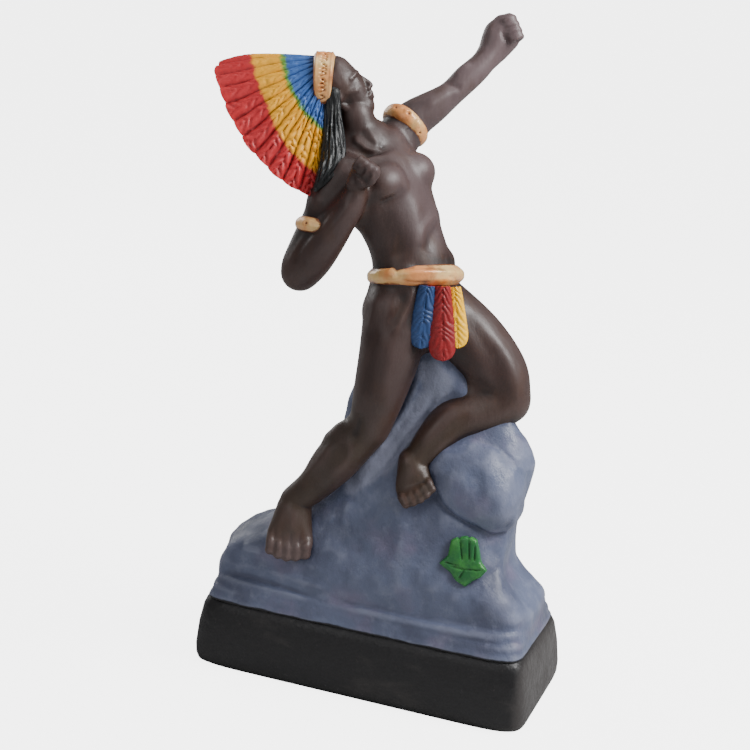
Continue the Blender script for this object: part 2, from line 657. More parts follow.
def makeFigure():
    bm = bmesh.new()
    makeTrunk(bm)
    makeLegs(bm)
    makeArms(bm)
    body = objectFrom("body", bm)
    blendTogether(body, "body")
    rub(body, 10)
    bm = takeUp(body)
    makeHead(bm)
    makeHands(bm)
    for places in feet.values():
        makeFoot(bm, *places)
    figure = objectFrom("figure", bm)
    blendTogether(figure, "figure")
    rub(figure, 3)
    model(figure, seenOn(figure, [*bodyMarks.values(), *fistMarks, *toeGrooves]))
    model(figure, hiddenMarks())
    rub(figure, 18, hold=nearPlaces(figure, finePlaces))
    rub(figure, 2)
    return figure


# The plinth is a drafted block. A sloping ledge of rock covers it, and a step stands on the ledge.
plinth = {"long": 214, "deep": 98, "high": 42, "draft": 4, "square": 11, "around": 96}
ledge = {"high": 8, "square": 9}
step = {"inset": 8, "high": 8, "square": 7}


# A level outline: an ellipse for a square of 2, a rectangle with round corners for more.
def levelRing(bm, around, z, a, b, square, x=0, y=0, rough=None):
    ring = circleOf(bm, around)
    for vert in ring:
        c, s = vert.co.x, vert.co.y
        swell = 1 + (rough(z, math.atan2(s, c)) if rough else 0)
        vert.co.x = x + a * swell * math.copysign(abs(c) ** (2 / square), c)
        vert.co.y = y + b * swell * math.copysign(abs(s) ** (2 / square), s)
        vert.co.z = z
    return edgesRound(ring)


# A block through levels (height, how far in from the plinth's foot, squareness).
def makeStack(name, levels):
    bm = bmesh.new()
    long, deep = plinth["long"] / 2, plinth["deep"] / 2
    bridgeRings(bm, [
        levelRing(bm, plinth["around"], z, long - inset, deep - inset, square) for z, inset, square in levels
    ])
    return objectFrom(name, bm)


def makePlinth():
    high, draft, square = plinth["high"], plinth["draft"], plinth["square"]
    return makeStack("plinth", [
        (0, 3.4, square), (1.6, 1.2, square), (5, 0.2, square), (11, 0, square),
        (high * 0.6, draft * 0.35, square), (high - 5, draft * 0.9, square),
        (high - 1.6, draft + 1, square), (high, draft + 2.6, square), (high + 2, draft + 8, square),
    ])


rock = {
    "levels": [
        (44, 0, 0, 96, 39, 6), (56, 0, 0, 98, 38.5, 5), (64, 0.5, 0, 99, 38.8, 4.5),
        (70, -1, -0.5, 96.5, 38.4, 4.1), (76, -3.2, -1, 92.8, 38, 3.8), (82, -1, -1, 86.5, 36.5, 3.5),
        (88, 3.8, -1, 79.8, 35, 3.2), (98, 11, 0, 72, 32, 2.7), (113, 17, 3, 66, 30, 2.4),
        (132, 24, 6, 61, 27, 2.4), (152, 26, 9, 59, 23, 2.3), (172, 20, 12, 50, 19, 2.2),
        (190, 15, 12, 38, 17, 2.2), (214, 13, 10, 24, 14, 2),
    ],
    "boulder": [
        (106, 62, -10, 8, 8, 2.2), (112, 61, -9, 19, 12, 2.6), (122, 59, -7, 26.5, 17, 3),
        (134, 57.5, -5, 28.5, 19.5, 3.2), (144, 57, -3, 27.5, 19, 3), (153, 57.5, -1, 22, 16, 2.6),
        (158.5, 58, 1, 12, 10, 2.2),
    ],
    "around": 72, "lean": -0.16, "waves": ((0.025, 3, 0.05), (0.015, 7, -0.09)), "patchWide": 13.5,
    "palePatch": [(430, 372), (440, 384), (436, 398), (420, 412), (402, 436), (380, 462), (354, 482)],
}
rockMarks = [
    ([(431, 472), (434, 490), (442, 505), (458, 518), (482, 531), (506, 533)], 1.8, -1.9),
    ([(502, 446), (510, 455), (519, 466), (526, 476)], 4.5, 1.4),
    ([(492, 446), (496, 480), (506, 525)], 6.0, 0.5), ([(462, 455), (474, 475), (480, 505)], 8.0, -0.7),
    ([(420, 372), (414, 392), (400, 418), (380, 450), (356, 476)], 3.4, 1.5),
    ([(436, 396), (424, 414), (404, 438), (388, 462), (366, 482)], 2.6, -1.2),
    ([(225, 572), (258, 579), (290, 589), (324, 602), (360, 606)], 2.2, -1.0),
    ([(228, 562), (260, 568), (296, 579), (330, 590)], 4.0, 0.8),
    ([(330, 520), (345, 545), (370, 560)], 7.0, -1.2), ([(390, 500), (402, 530), (396, 560)], 7.0, 1.1),
    ([(350, 500), (340, 525)], 5.0, 0.9), ([(420, 560), (410, 585), (430, 600)], 6.0, -0.8),
    ([(492, 545), (498, 565), (486, 588)], 6.0, -1.3),
    ([(242, 545), (262, 552)], 5.0, 0.8), ([(330, 606), (400, 622), (470, 636), (505, 643)], 1.6, 0.7),
    ([(335, 600), (400, 614), (470, 629)], 2.0, -0.6),
]


# A mound through levels (height, middle x, middle y, half width, half depth, squareness), smoothed between.
def addMound(bm, levels, lean=0.0):
    def rough(z, turn):
        return sum(size * math.sin(count * turn + z * climb) for size, count, climb in rock["waves"])

    part = bmesh.new()
    bridgeRings(part, [
        levelRing(part, rock["around"], z, a, b, square, x, y, rough)
        for z, x, y, a, b, square in smoothRows(levels, 3)
    ])
    for vert in part.verts:
        vert.co.z += lean * (vert.co.x - levels[0][1])
    addTo(bm, part)


patchLine = []


def makeRock():
    high, draft, top = plinth["high"], plinth["draft"], plinth["high"] + ledge["high"]
    bm = takeUp(makeStack("slope", [
        (high - 0.6, draft + 1.2, plinth["square"]), (high + 1.4, draft + 1.6, 10),
        (high + 4, draft + 3, ledge["square"]), (top, step["inset"] - 0.6, ledge["square"]),
        (top + 0.8, step["inset"], step["square"]),
        (top + step["high"] * 0.75, step["inset"] + 0.7, step["square"]),
        (top + step["high"], step["inset"] + 3, step["square"]),
    ]))
    addMound(bm, rock["levels"])
    addMound(bm, rock["boulder"], rock["lean"])
    made = objectFrom("rock", bm)
    blendTogether(made, "rock")
    rub(made, 4)
    model(made, seenOn(made, rockMarks))
    points = pointsOf(made)
    lumps = np.array([
        noise.noise(Vector(point) * 0.045) + 0.5 * noise.noise(Vector(point) * 0.11) for point in points
    ])
    above = np.clip((points[:, 2] - top) / 20, 0.15, 1)
    patchLine.extend(seenOn(made, [(rock["palePatch"], 0, 0)])[0][0])
    setPoints(made, points + normalsOf(made) * (lumps * above * 1.5)[:, None])
    rub(made, 2)
    return made


# The bonnet spreads from a band over the head. x ahead, y left, z up from the head's middle.
bonnet = {
    "feathers": 21, "length": 61.5, "reach": 118, "columns": (16, 8), "rows": (104, 50), "lip": 4.2,
    "under": ((0.995, 0.4), (0.975, 0.8), (0.95, 1.0)), "droop": 6, "back": (-36, 0, -18),
    "blueEnds": ([0, 1], [22.2, 19.6]), "yellowEnds": ([0, 0.43, 0.87, 1], [39.5, 36.6, 42.9, 45]),
}
band = {
    "arch": 15.5, "top": 21, "reach": 138, "x": -10.8, "drop": 1.5, "wide": 12.2, "wideEnd": 9, "thick": 5,
    "teeth": 16, "toothReach": 0.86, "rimReach": 0.93,
}
paintPlaces = []


def onHead(x, y, z):
    turned = Matrix.Rotation(math.radians(head["turn"]), 3, "Z") @ Vector((x, y, z))
    return turned + Vector(head["at"])


headWay = onHead(1, 0, 0) - onHead(0, 0, 0)


# A place on the band, from the right ear at -1 over the top at 0 to the left ear at 1.
def onBand(share, grow, x, reach):
    angle = math.radians(reach * share)
    radius = band["arch"] + grow
    return Vector((x, radius * math.sin(angle), band["top"] - band["arch"] + radius * math.cos(angle)))


# The middle line of the feather at share: where it starts, the way it lies, the way it faces, its length.
def featherLine(share):
    size = abs(share)
    lean = math.radians(1 + 87 * size ** 1.15)
    flare = 0.3 * math.copysign(math.sin(math.pi * min(1, size * 1.2) * 0.62), share)
    way = Vector((-math.cos(lean), flare, -math.sin(lean))).normalized()
    out = Vector((0, math.sin(2 * share), math.cos(2 * share)))
    out = (out - way * out.dot(way)).normalized()
    length = bonnet["length"] * (1 - 0.05 * min(1, 2.5 * size) - 0.07 * max(0, 1 - 8 * size))
    return onBand(share, -1, band["x"] - 2 + 4.5 * size ** 3, bonnet["reach"]), way, out, length


# The barbs slant from the shaft to the tip: rounded ridges with sharp grooves between them.
def barbs(run, across, half, pitch, seed, slant):
    wander = noise.noise(Vector((seed * 3.7, run * 0.12, across * 0.7)))
    phase = (run - abs(across) * half * slant) / pitch + (0.5 if across < 0 else 0) + 0.95 * wander
    return abs(math.sin(math.pi * phase)) ** 0.75


# How far the carving stands out of the fan at a share of the band, and how far the fan's edge reaches.
def fanRelief(share, along, length):
    count = bonnet["feathers"]
    sway = 0.13 * noise.noise(Vector((share * 9, along * 3.2, 5)))
    place = (1 - share) / 2 * count + sway
    index = math.floor(place)
    across = (place - index) * 2 - 1
    half = 1.5 + 3.3 * along
    low = min(1, abs(share) * 1.1) ** 1.5
    rise = 1 + 0.45 * noise.noise(Vector((index * 5.3, 1, along * 2)))
    crown = (0.6 + 0.2 * half) * rise * (1 - abs(across) ** 4)
    shown = min(1, max(0, (along - 0.05) * 4)) * (1 - abs(across) ** 6)
    pitch = 5.4 + 3.4 * (1 - low)
    slant = 1.2 + 1.6 * (1 - low)
    ridges = (0.45 + 0.95 * low) * barbs(along * length, across, half, pitch, index, slant) * shown
    shaft = -0.6 * low * math.exp(-((across * half / 0.6) ** 2)) * shown
    uneven = 0.016 * noise.noise(Vector((index * 2.9, 8, 0)))
    edge = 0.98 + 0.02 * math.sqrt(max(0, 1 - across * across)) + uneven
    return crown + ridges + shaft - 1.6, edge


# The place on the paint's scale: blue from 0, yellow from 1, red from 2 and blue again beyond 3.4.
def fanPaint(share, run, length):
    blueEnd = np.interp(abs(share), *bonnet["blueEnds"])
    yellowEnd = np.interp(abs(share), *bonnet["yellowEnds"])
    return float(np.interp(run, (0, blueEnd, yellowEnd, length), (0, 1, 2, 3)))


def makeBonnet():
    bm = bmesh.new()
    around = bonnet["feathers"] * bonnet["columns"][grade]
    rows = bonnet["rows"][grade]
    rings = []
    for along, under in [*((k / (rows - 1), 0) for k in range(rows)), *bonnet["under"]]:
        ring = circleOf(bm, around)
        for i, vert in enumerate(ring):
            share = 1 - 2 * (i + 0.5) / around
            start, way, out, length = featherLine(share)
            relief, edge = fanRelief(share, along, length)
            run = along * length * (1 + (edge - 1) * along ** 8)
            place = start + way * run + out * (relief * (1 - 0.4 * under) - bonnet["lip"] * under)
            vert.co = onHead(*(place - up * bonnet["droop"] * along ** 4 * max(0, 1 - 5 * abs(share))))
            paintPlaces.append((vert.co.copy(), fanPaint(share, run, length)))
        rings.append(edgesRound(ring))
    bridgeRings(bm, rings, closed=False)
    for ring, middle in ((rings[0], (band["x"], 0, 0)), (rings[-1], bonnet["back"])):
        tip = bmesh.ops.create_vert(bm, co=onHead(*middle))["vert"][0]
        if ring is rings[-1]:
            rim = {vert for edge in ring for vert in edge.verts}
            paintPlaces.extend((vert.co.lerp(tip.co, k / 12), 3) for vert in rim for k in range(1, 13))
        for edge in ring:
            bmesh.ops.contextual_create(bm, geom=[*edge.verts, tip])
    return objectFrom("bonnet", bm)


# A hanging feather: a vane with a crown, slanting barbs on both sides of its shaft and a round tip.
def makeFeather(top, tip, out, half, thick, paint, seed):
    bm = bmesh.new()
    top, tip = Vector(top), Vector(tip)
    length = (tip - top).length
    way = (tip - top) / length
    out = (out - way * out.dot(way)).normalized()
    across = out.cross(way)
    bmesh.ops.create_grid(bm, x_segments=int(length / 0.5), y_segments=22, size=1)
    for vert in bm.verts:
        along, side = (vert.co.x + 1) / 2, vert.co.y
        roundTip = math.sqrt(max(0.0, 1 - max(0.0, (along - 0.8) / 0.2) ** 2))
        wide = half * (0.58 + 0.42 * min(1, along * 1.4) ** 0.8) * (0.12 + 0.88 * roundTip)
        crown = (1 - side * side) * 0.3 * half
        ridges = (1.05 - 0.5 * along) * barbs(along * length, side, half, 4.6, seed + 3, 1.1)
        ridges *= 1 - abs(side) ** 6
        shaft = -0.5 * math.exp(-((side * half / 0.6) ** 2))
        vert.co = top + way * along * length + across * side * wide + out * (crown + ridges + shaft)
        paintPlaces.append((vert.co.copy(), paint))
    grown = bmesh.ops.extrude_face_region(bm, geom=bm.faces[:])["geom"]
    rear = [item for item in grown if isinstance(item, bmesh.types.BMVert)]
    bmesh.ops.translate(bm, vec=-out * thick, verts=rear)
    return objectFrom("feather", bm)


# The band: a flat strip with a raised rim and a row of cut zigzags and dots between the rims.
def makeBand():
    def onStrap(share, grow=0.0, x=0.0):
        return onHead(*(onBand(share, grow, band["x"] + x, band["reach"]) - up * band["drop"]))

    bm = bmesh.new()
    rows = []
    for share in (k / 12 for k in range(-12, 13)):
        wide = band["wide"] + (band["wideEnd"] - band["wide"]) * abs(share) ** 1.5
        rows.append((*onStrap(share), wide / 2, band["thick"] / 2))
    addLimb(bm, rows, headWay, around=28, steps=3, blunt=1.2)
    made = objectFrom("band", bm)
    blendTogether(made, "band")
    rub(made, 1)

    def cut(points, width, depth):
        return [onStrap(share, 2.6, x) for share, x in points], width, depth

    rim = band["wide"] / 2 - 1.4
    shares = np.linspace(-band["rimReach"], band["rimReach"], 30)
    strokes = [cut([(share, rim * way) for share in shares], 1.0, 0.7) for way in (-1, 1)]
    for k in range(-band["teeth"], band["teeth"]):
        share = (k + 0.5) / band["teeth"] * band["toothReach"]
        tall = 0.45 / band["teeth"] * band["toothReach"]
        if k % 4 == 1:
            strokes.append(cut([(share, 0.0)], 0.9, -1.0))
        else:
            strokes.append(cut([(share - tall, -2.4), (share + tall, 2.2)], 0.7, -1.1))
            strokes.append(cut([(share + tall, 2.2), (share + 2.4 * tall, -1.4)], 0.6, -0.9))
    model(made, strokes, steps=2)
    return made


# A soft ring round a limb: its place, the way it looks along, the way of its half width, half width, half
# depth and height, and the folds that the photograph shows.
def makeRing(name, place, along, side, wide, deep, high, folds):
    bm = bmesh.new()
    middle = Vector(place)
    ahead = Vector(along).normalized()
    ends = [(share, 1 - 0.09 * abs(share) ** 3) for share in (-1, -0.5, 0, 0.5, 1)]
    rows = [(*(middle + ahead * high / 2 * share), wide * size, deep * size) for share, size in ends]
    addLimb(bm, rows, side, around=64, steps=4, blunt=0.16)
    made = objectFrom(name, bm)
    blendTogether(made, "ring")
    rub(made, 4)
    model(made, seenOn(made, folds))
    rub(made, 2)
    return made


# Long hair falls from the band over both shoulders and down the nape, in wavy strands. The lock beside the
# face lies on the right shoulder and ends in a point under the bonnet.
locks = {
    "near": [
        (-5, -12, 0, 4.6, 4), (-4.6, -14, -11, 5, 4.5), (-3.3, -18, -22, 6.2, 5), (-2.8, -23, -31, 7, 4.8),
        (-4.2, -28, -38, 6.2, 4), (-7.8, -32.5, -45, 4.2, 3), (-11.5, -34.5, -51.5, 1.4, 1.2),
    ],
    "far": [(-4.5, 12, 0, 5, 4), (-3.5, 13, -14, 6, 4), (-1, 15, -28, 8, 4), (0, 17, -38, 8, 4)],
    "nape": [(-13, 0, -4, 10, 12), (-12, 0, -21, 8.5, 13), (-9, 0, -37, 6.5, 12), (-6.5, 0, -47, 4.2, 8)],
    "under the bonnet": [
        (-9, -9, -6, 6, 5), (-9, -12.5, -22, 6.5, 5.5), (-9, -16, -36, 6.5, 5.5), (-9, -19, -46, 5, 4),
    ],
}
# Three kinds of strand take turns: the tool's width and the height it leaves.
strands = ((0.75, -1.0), (0.6, 0.5), (0.9, -0.7))


def makeHair():
    bm = bmesh.new()
    for stations in locks.values():
        addLimb(bm, [(*onHead(x, y, z), wide, deep) for x, y, z, wide, deep in stations], headWay)
    made = objectFrom("hair", bm)
    blendTogether(made, "hair")
    rub(made, 3)
    rows = smoothRows(locks["near"], 3)
    strokes = []
    for side in (-1, 1):
        for k in range(17):
            line = []
            for i, (x, y, z, wide, deep) in enumerate(rows):
                wave = 0.8 * math.sin(i * (0.45 + 0.1 * (k % 3)) + k * 2.3)
                line.append(onHead(x + (k - 8) / 8 * (wide + 1) + wave, -side * (y - deep * 0.8), z))
            strokes.append((line[k % 4:len(line) - k % 3], *strands[k % 3]))
    for k in range(9):
        angle = math.radians(-80 + 20 * k)
        x, y = -14 - 9 * math.cos(angle), 12 * math.sin(angle)
        line = [onHead(x + 0.6 * math.sin(down + k), y, -6 * down) for down in range(9)]
        strokes.append((line, 0.9, -0.8))
    model(made, strokes, steps=2)
    rub(made, 1)
    return made


leaf = {
    "at": (60, -32, 92), "facing": (0.1, -1, 0.2), "layers": ((1, -2.5), (1, 0.8), (0.92, 2.0), (0.6, 2.4)),
    "outline": [
        (451, 540), (457, 537), (459, 539), (461, 536.5), (467, 536), (469, 538.5), (471, 536.5), (477, 540),
        (479.5, 552), (481, 562), (487, 571), (480, 578), (473, 581), (465, 587), (455, 580), (451, 573),
        (439, 563), (448, 555),
    ],
    "veins": (
        [(460, 540), (462, 561)], [(469, 540), (469, 561)], [(475, 545), (474, 562)],
        [(450, 566), (462, 569), (484, 571)], [(444, 562), (459, 566)], [(458, 579), (464, 570)],
    ),
}


def makeLeaf():
    bm = bmesh.new()
    facing = Vector(leaf["facing"]).normalized()
    eye = cameraAxes()[3]
    points = []
    for place in leaf["outline"]:
        way = sightLine(*place)
        points.append(eye + way * (Vector(leaf["at"]) - eye).dot(facing) / way.dot(facing))
    middle = sum(points, Vector()) / len(points)
    rings = [
        [bm.verts.new(middle + (point - middle) * share + facing * out) for point in points]
        for share, out in leaf["layers"]
    ]
    for low, high in zip(rings, rings[1:]):
        for i in range(len(points)):
            bm.faces.new((low[i - 1], low[i], high[i], high[i - 1]))
    for ring in (rings[0], rings[-1]):
        bm.faces.new(ring)
    made = objectFrom("leaf", bm)
    blendTogether(made, "leaf")
    rub(made, 5)
    model(made, seenOn(made, [(vein, 0.8, -0.8) for vein in leaf["veins"]]))
    return made


# The belt is a soft roll whose end is tucked over it at the figure's right hip.
beltFolds = [
    ([(398, 268), (396, 274), (400, 279), (410, 283)], 3.0, -0.55),
    ([(392, 277), (380, 280), (370, 282)], 1.6, -0.4), ([(376, 271), (388, 270), (396, 268)], 2.0, 0.8),
    ([(404, 274), (422, 272), (445, 272), (460, 275)], 2.6, 0.9),
    ([(404, 281), (430, 282), (462, 281)], 1.0, -0.6), ([(448, 276), (456, 279), (466, 280)], 1.2, -0.5),
]
armbandDots = [
    ([(409, 113)], 1.2, -1.8), ([(396, 107)], 1.0, -1.3), ([(420, 133)], 1.0, -1.3),
    ([(404, 110), (413, 114)], 2.6, 0.6), ([(416, 120), (420, 127)], 3.0, 0.8),
    ([(306, 223)], 1.1, -1.7), ([(302, 222), (311, 224)], 2.4, 0.5),
]
ornaments = {
    "belt": ((11, 0, 251), (-0.14, 0.17, 1), trunk["left"], 31, 26.5, 8.6, beltFolds),
    "rightArmband": ((-35, -32.2, 278), (-2, -6, -19), trunk["left"], 15.3, 16.2, 6.4, armbandDots),
    "leftArmband": ((-11.6, 30, 332.8), (8, 12, 13), up, 15.2, 15.4, 8.2, armbandDots),
}


# The hanging feathers: top, tip, half width and the place of their paint on the scale of the bonnet's.
hangingFeathers = {
    "blue": ((25.7, -22, 251), (25.2, -25.5, 215.5), 7.6, 4.2),
    "red": ((33.2, -17.5, 251), (38.2, -23.5, 209.5), 7.7, 2.7),
    "yellow": ((38.4, -11.5, 250), (44.8, -17.5, 216.5), 6.3, 1.5),
}


def makeHangingFeathers():
    facing = Vector((0.4, -0.9, 0.15))
    return [makeFeather(top, tip, facing, half, 4.5, paint, seed)
            for seed, (top, tip, half, paint) in enumerate(hangingFeathers.values())]


def join(made, other):
    union = made.modifiers.new("join", "BOOLEAN")
    union.operation = "UNION"
    union.solver = "MANIFOLD"
    union.object = other
    settle(made)
    bpy.data.objects.remove(other)


paintNames = ("skinPaint", "featherPaint", "goldPaint", "hairPaint", "rockPaint", "plinthPaint", "leafPaint")
paints = [bpy.data.materials.new(name) for name in paintNames]


def coat(made, name):
    for paint in paints:
        made.data.materials.append(paint)
    made.data.polygons.foreach_set("material_index", [paintNames.index(name)] * len(made.data.polygons))
    return made


def castStatue():
    figure = makeFigure()
    print("figure modelled", len(figure.data.vertices))
    thinOut(figure, mostTriangles["figure"])
    statue = coat(figure, "skinPaint")
    pieces = [
        (makeRock(), "rockPaint"), (makePlinth(), "plinthPaint"), (makeHair(), "hairPaint"),
        (makeBonnet(), "featherPaint"), (makeBand(), "goldPaint"),
        *((makeRing(name, *settings), "goldPaint") for name, settings in ornaments.items()),
        *((piece, "featherPaint") for piece in makeHangingFeathers()), (makeLeaf(), "leafPaint"),
    ]
    print("pieces modelled", len(pieces))
    for piece, paint in pieces:
        join(statue, coat(piece, paint))
    print("joined", len(statue.data.polygons))
    thinOut(statue, mostTriangles["statue"])
    statue.name = statue.data.name = "warriorStatue"
    statue.data.transform(Matrix.Scale(mm, 4))
    statue.data.polygons.foreach_set("use_smooth", [True] * len(statue.data.polygons))
    statue.data.set_sharp_from_angle(angle=math.radians(50))
    return statue


# Every point of the feathers takes its paint's place from the nearest carved point.
def spreadPaint(made):
    tree = KDTree(len(paintPlaces))
    for i, (place, _) in enumerate(paintPlaces):
        tree.insert(place * mm, i)
    tree.balance()
    feathered = set()
    index = paintNames.index("featherPaint")
    for face in made.data.polygons:
        if face.material_index == index:
            feathered.update(face.vertices)
    values = [0.0] * len(made.data.vertices)
    for vert in feathered:
        values[vert] = paintPlaces[tree.find(made.data.vertices[vert].co)[1]][1]
    store(made, "paintPlace", values)


# How far each point stands out, from -1 in the deepest hollow to 1 on the sharpest ridge. Dirt stays in
# the hollows, and the paint is rubbed pale on the ridges.
def measureRelief(made):
    edges = edgesOf(made)
    points = pointsOf(made)
    smooth = points.copy()
    for _ in range(4):
        smooth = neighbourMean(smooth, edges)
    out = np.einsum("ij,ij->i", points - smooth, normalsOf(made)).reshape(-1, 1)
    for _ in range(2):
        out = neighbourMean(out, edges)
    store(made, "relief", np.clip(out.ravel() / (reliefDepth * mm), -1, 1))


# The pale brushed patch of the rock, 1 along its middle line.
def spreadPatch(made):
    store(made, "palePatch", nearLine(pointsOf(made) / mm, patchLine, rock["patchWide"], soft=0))


reliefDepth = 0.35
statue = castStatue()
spreadPaint(statue)
measureRelief(statue)
spreadPatch(statue)
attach(statue, "root")
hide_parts("plaster_statue")


# Gives an input a number, a colour or another node's output.
def feed(tree, slot, value):
    if isinstance(value, (float, int)):
        slot.default_value = value
    elif isinstance(value, tuple):
        slot.default_value = (*value, 1)
    else:
        tree.links.new(value, slot)


# Adds a node with its values set and its inputs linked. An input's name starts with a capital letter.
def put(tree, kind, settings=None, **links):
    node = tree.nodes.new("ShaderNode" + kind)
    for key, value in (settings or {}).items():
        if key[0].isupper():
            node.inputs[key].default_value = value
        else:
            setattr(node, key, value)
    for key, source in links.items():
        tree.links.new(source, node.inputs[key])
    return node


def noiseOn(tree, where, scale, detail=4, roughness=0.55):
    settings = {"Scale": scale, "Detail": detail, "Roughness": roughness}
    return put(tree, "TexNoise", settings, Vector=where).outputs["Fac"]


# A share from 0 to 1 as the value goes from low to high.
def rangeOf(tree, value, low, high, start=0.0, end=1.0):
    return put(tree, "MapRange", {
        "interpolation_type": "SMOOTHSTEP",
        "From Min": low, "From Max": high, "To Min": start, "To Max": end,
    }, Value=value).outputs["Result"]


def mixOf(tree, share, first, second, blend="MIX"):
    node = put(tree, "Mix", {"data_type": "RGBA", "blend_type": blend})
    for slot, value in ((0, share), (6, first), (7, second)):
        feed(tree, node.inputs[slot], value)
    return node.outputs[2]


def mathOf(tree, operation, first, second, third=0.0):
    node = put(tree, "Math", {"operation": operation})
    for slot, value in enumerate((first, second, third)):
        feed(tree, node.inputs[slot], value)
    return node.outputs[0]


def partOf(tree, where, axis):
    return put(tree, "SeparateXYZ", Vector=where).outputs[axis]


# A value that the statue's points keep.
def keptOn(tree, name):
    return put(tree, "Attribute", {"attribute_name": name}).outputs["Fac"]


# Lays colours over the first one in turn, each as its value goes from low to high, up to a share of it.
def layOver(tree, colour, layers):
    for over, value, low, high, share in layers:
        colour = mixOf(tree, rangeOf(tree, value, low, high, 0, share), colour, over)
    return colour


def tinted(tree, colour, tint):
    return mixOf(tree, 1.0, colour, tint, "MULTIPLY")


# The object's own coordinates drawn out along one axis, for brush marks that run that way.
def drawnOut(tree, where, scale, turn=(0, 0, 0)):
    settings = {"Scale": scale, "Rotation": tuple(math.radians(angle) for angle in turn)}
    return put(tree, "Mapping", settings, Vector=where).outputs[0]


def startPaint(name, sheen=None):
    paint = bpy.data.materials[name]
    paint.use_nodes = True
    tree = paint.node_tree
    shader = tree.nodes["Principled BSDF"]
    for key, value in (sheen or {}).items():
        shader.inputs[key].default_value = value
    return tree, shader, put(tree, "TexCoord").outputs["Object"]


def finishPaint(tree, shader, colour, roughness, height, distance):
    bump = put(tree, "Bump", {"Distance": distance, "Strength": 1.0}, Height=height).outputs[0]
    for key, source in (("Base Color", colour), ("Roughness", roughness), ("Normal", bump)):
        tree.links.new(source, shader.inputs[key])


# The paints' colours, with their sheen and the heights in metres between which they change.
feathers = {
    "hangingDull": (0.55, 0.5, 0.48), "hangingYellow": (1.19, 1.35, 0.05), "hangingFrom": (0.264, 0.26),
    "blue": (0.045, 0.13, 0.4), "green": (0.12, 0.3, 0.04), "yellow": (0.84, 0.4, 0.016),
    "red": (0.5, 0.022, 0.028), "worn": (1.3, 1.25, 1.2), "dirty": (0.3, 0.3, 0.34),
}
skin = {
    "dark": (0.016, 0.0065, 0.005), "brown": (0.033, 0.0115, 0.0085), "worn": (0.085, 0.05, 0.045),
    "raised": (0.16, 0.11, 0.115), "warm": (0.065, 0.027, 0.014), "shins": (0.05, 0.028, 0.0155),
    "shinsFrom": (0.2, 0.15),
    "sheen": {"Coat Weight": 0.12, "Coat Roughness": 0.3, "Specular IOR Level": 0.6},
}
gold = {
    "copper": (0.84, 0.32, 0.1), "yellow": (1, 0.68, 0.28), "antique": (0.24, 0.07, 0.022),
    "sheen": {"Metallic": 0.08, "Coat Weight": 0.35, "Coat Roughness": 0.16},
}
hairs = {"black": (0.003, 0.004, 0.0045), "grey": (0.036, 0.044, 0.048)}
rocks = {
    "blue": (0.135, 0.16, 0.255), "deep": (0.082, 0.094, 0.155), "pale": (0.31, 0.33, 0.44),
    "violet": (0.185, 0.158, 0.25), "black": (0.006, 0.006, 0.008), "lap": 0.0431,
}
plinths = {"black": (0.005, 0.005, 0.0068), "worn": (0.05, 0.044, 0.042)}
leaves = {"green": (0.021, 0.155, 0.042), "dark": (0.004, 0.035, 0.008), "pale": (0.05, 0.28, 0.05)}


def makeFeatherPaint():
    tree, shader, where = startPaint("featherPaint")
    ragged = mathOf(tree, "MULTIPLY_ADD", noiseOn(tree, where, 260, 3), 0.34, -0.17)
    place = mathOf(tree, "ADD", keptOn(tree, "paintPlace"), ragged)
    colour = layOver(tree, feathers["blue"], [
        (feathers["green"], place, 0.86, 0.98, 1), (feathers["yellow"], place, 0.98, 1.12, 1),
        (feathers["red"], place, 1.9, 2.08, 1), (feathers["blue"], place, 3.35, 3.55, 1),
    ])
    yellow = mathOf(tree, "MULTIPLY", rangeOf(tree, place, 1.0, 1.2), rangeOf(tree, place, 2.1, 1.9))
    hanging = mixOf(tree, yellow, feathers["hangingDull"], feathers["hangingYellow"])
    relief = keptOn(tree, "relief")
    for tint, value, low, high, share in (
        (hanging, partOf(tree, where, "Z"), *feathers["hangingFrom"], 1),
        (feathers["worn"], noiseOn(tree, where, 90, 5), 0.35, 0.75, 0.5),
        (feathers["dirty"], relief, -0.1, -0.7, 0.8), (feathers["worn"], relief, 0.15, 0.8, 0.6),
    ):
        colour = layOver(tree, colour, [(tinted(tree, colour, tint), value, low, high, share)])
    roughness = rangeOf(tree, noiseOn(tree, where, 180), 0.3, 0.7, 0.4, 0.56)
    finishPaint(tree, shader, colour, roughness, noiseOn(tree, where, 420, 3), 0.0003)


def makeSkinPaint():
    tree, shader, where = startPaint("skinPaint", skin["sheen"])
    relief = keptOn(tree, "relief")
    height = partOf(tree, where, "Z")
    streaks = noiseOn(tree, drawnOut(tree, where, (1, 1, 0.4)), 60, 5)
    side = mathOf(tree, "MULTIPLY_ADD", height, 0.35, partOf(tree, where, "X"))
    chest = rangeOf(tree, side, 0.1, 0.12, 0, 0.4)
    chest = mathOf(tree, "MULTIPLY", chest, rangeOf(tree, height, 0.262, 0.282))
    colour = layOver(tree, skin["brown"], [
        (skin["shins"], height, *skin["shinsFrom"], 1), (skin["dark"], streaks, 0.38, 0.72, 0.45),
        (skin["worn"], noiseOn(tree, where, 26, 3), 0.45, 0.75, 0.3),
        (skin["dark"], relief, -0.08, -0.6, 0.85), (skin["worn"], relief, 0.12, 0.8, 0.5),
        (skin["raised"], partOf(tree, where, "Y"), 0.024, 0.05, 0.7),
    ])
    colour = mixOf(tree, chest, colour, skin["raised"])
    warm = noiseOn(tree, drawnOut(tree, where, (1, 1, 0.5)), 75, 4)
    colour = layOver(tree, colour, [
        (skin["raised"], height, 0.102, 0.086, 0.4), (skin["warm"], warm, 0.48, 0.72, 0.5),
    ])
    roughness = rangeOf(tree, noiseOn(tree, where, 90, 4), 0.3, 0.7, 0.46, 0.6)
    brush = noiseOn(tree, drawnOut(tree, where, (1, 1, 0.25), (0, 20, 0)), 320, 3)
    finishPaint(tree, shader, colour, roughness, brush, 0.00022)


